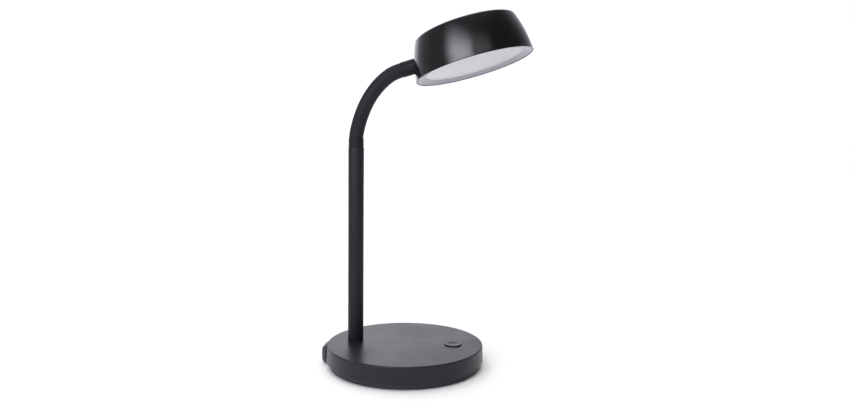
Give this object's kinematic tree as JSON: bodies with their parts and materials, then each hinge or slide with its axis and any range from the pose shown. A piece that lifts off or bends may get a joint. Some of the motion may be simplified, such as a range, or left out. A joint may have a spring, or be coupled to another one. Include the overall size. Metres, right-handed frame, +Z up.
{
  "type": "gooseneck desk lamp",
  "caption": "Desk lamp with a round weighted base, push button, straight pole, flexible gooseneck and shallow round LED head.",
  "frame": {"origin": "centre of the anti-slip pad's underside, on the table", "axes": "+Z up, +X from the pole towards the button and the head"},
  "size_m": [0.2125, 0.162, 0.3569],
  "materials": {
    "pad_rubber": "matt",
    "plate_plastic": "fine matt",
    "ballast_steel": "plain",
    "cover_paint": "satin, dark grey",
    "zinc_screw": "zinc plated",
    "socket_steel": "zinc plated",
    "pole_paint": "satin black",
    "ferrule_paint": "satin black",
    "gland_plastic": "matt dark grey",
    "board_green": "solder mask",
    "switch_plastic": "matt",
    "driver_mix": "mixed parts",
    "lead_white": "smooth",
    "button_paint": "satin, dark grey",
    "plunger_plastic": "smooth",
    "sleeve_rubber": "soft matt",
    "hose_steel": "plain",
    "collar_paint": "satin black",
    "nut_steel": "plain",
    "head_gloss": "glossy black",
    "ring_white": "satin white",
    "diffuser_opal": "opal",
    "heat_aluminium": "plain",
    "board_white": "white solder mask",
    "led_yellow": "phosphor"
  },
  "bodies": {
    "base": {"anti_slip_pad": "pad_rubber", "base_plate": "plate_plastic", "ballast_disc": "ballast_steel", "base_cover": "cover_paint", "base_screws": "zinc_screw", "pole_socket": "socket_steel", "socket_screws": "zinc_screw", "pole_tube": "pole_paint", "lower_ferrule": "ferrule_paint", "cord_gland": "gland_plastic", "control_board": "board_green", "tact_switch": "switch_plastic", "driver_parts": "driver_mix", "board_screws": "zinc_screw", "pole_lead": "lead_white", "sleeve_0": "sleeve_rubber", "hose_0": "hose_steel"},
    "button": {"button_cap": "button_paint", "button_plunger": "plunger_plastic"},
    "neck_1": {"sleeve_1": "sleeve_rubber", "hose_1": "hose_steel", "lead_1": "lead_white"},
    "neck_2": {"sleeve_2": "sleeve_rubber", "hose_2": "hose_steel", "lead_2": "lead_white"},
    "neck_3": {"sleeve_3": "sleeve_rubber", "hose_3": "hose_steel", "lead_3": "lead_white"},
    "neck_4": {"sleeve_4": "sleeve_rubber", "hose_4": "hose_steel", "lead_4": "lead_white"},
    "neck_5": {"sleeve_5": "sleeve_rubber", "hose_5": "hose_steel", "lead_5": "lead_white"},
    "neck_6": {"sleeve_6": "sleeve_rubber", "hose_6": "hose_steel", "lead_6": "lead_white"},
    "neck_7": {"sleeve_7": "sleeve_rubber", "hose_7": "hose_steel", "lead_7": "lead_white"},
    "head": {"sleeve_8": "sleeve_rubber", "hose_8": "hose_steel", "lead_8": "lead_white", "upper_collar": "collar_paint", "arm_nut": "nut_steel", "head_shell": "head_gloss", "reflector_ring": "ring_white", "diffuser": "diffuser_opal", "heat_plate": "heat_aluminium", "led_board": "board_white", "led_chips": "led_yellow", "head_screws": "zinc_screw"}
  },
  "joints": [
    {"name": "button_press", "type": "slide", "parent": "base", "child": "button", "axis": [0, 0, -1], "range_m": [0, 0.001], "stiffness_N_per_m": 800, "springref_m": -0.0005},
    {"name": "neck_bend_1", "type": "hinge", "parent": "base", "child": "neck_1", "pos_m": [-0.053, 0, 0.2375], "axis": [0, 1, 0], "range_deg": [-18.5, 10]},
    {"name": "neck_sway_1", "type": "hinge", "parent": "neck_1", "child": "neck_2", "pos_m": [-0.05062, 0, 0.24824], "axis": [0.9661, 0, -0.2581], "range_deg": [-12, 12]},
    {"name": "neck_bend_2", "type": "hinge", "parent": "neck_2", "child": "neck_3", "pos_m": [-0.04733, 0, 0.25873], "axis": [0, 1, 0], "range_deg": [-18.5, 10]},
    {"name": "neck_sway_2", "type": "hinge", "parent": "neck_3", "child": "neck_4", "pos_m": [-0.04298, 0, 0.26884], "axis": [0.8939, 0, -0.4483], "range_deg": [-12, 12]},
    {"name": "neck_bend_3", "type": "hinge", "parent": "neck_4", "child": "neck_5", "pos_m": [-0.03748, 0, 0.27837], "axis": [0, 1, 0], "range_deg": [-18.5, 10]},
    {"name": "neck_sway_3", "type": "hinge", "parent": "neck_5", "child": "neck_6", "pos_m": [-0.03077, 0, 0.28708], "axis": [0.7455, 0, -0.6665], "range_deg": [-12, 12]},
    {"name": "neck_bend_4", "type": "hinge", "parent": "neck_6", "child": "neck_7", "pos_m": [-0.02286, 0, 0.29472], "axis": [0, 1, 0], "range_deg": [-18.5, 10]},
    {"name": "neck_sway_4", "type": "hinge", "parent": "neck_7", "child": "head", "pos_m": [-0.01381, 0, 0.30098], "axis": [0.427, 0, -0.9042], "range_deg": [-12, 12]}
  ],
  "couplings": [
    {"joint": "neck_bend_2", "follows": "neck_bend_1", "ratio": 1},
    {"joint": "neck_sway_2", "follows": "neck_sway_1", "ratio": 1},
    {"joint": "neck_bend_3", "follows": "neck_bend_1", "ratio": 1},
    {"joint": "neck_sway_3", "follows": "neck_sway_1", "ratio": 1},
    {"joint": "neck_bend_4", "follows": "neck_bend_1", "ratio": 1},
    {"joint": "neck_sway_4", "follows": "neck_sway_1", "ratio": 1}
  ]
}
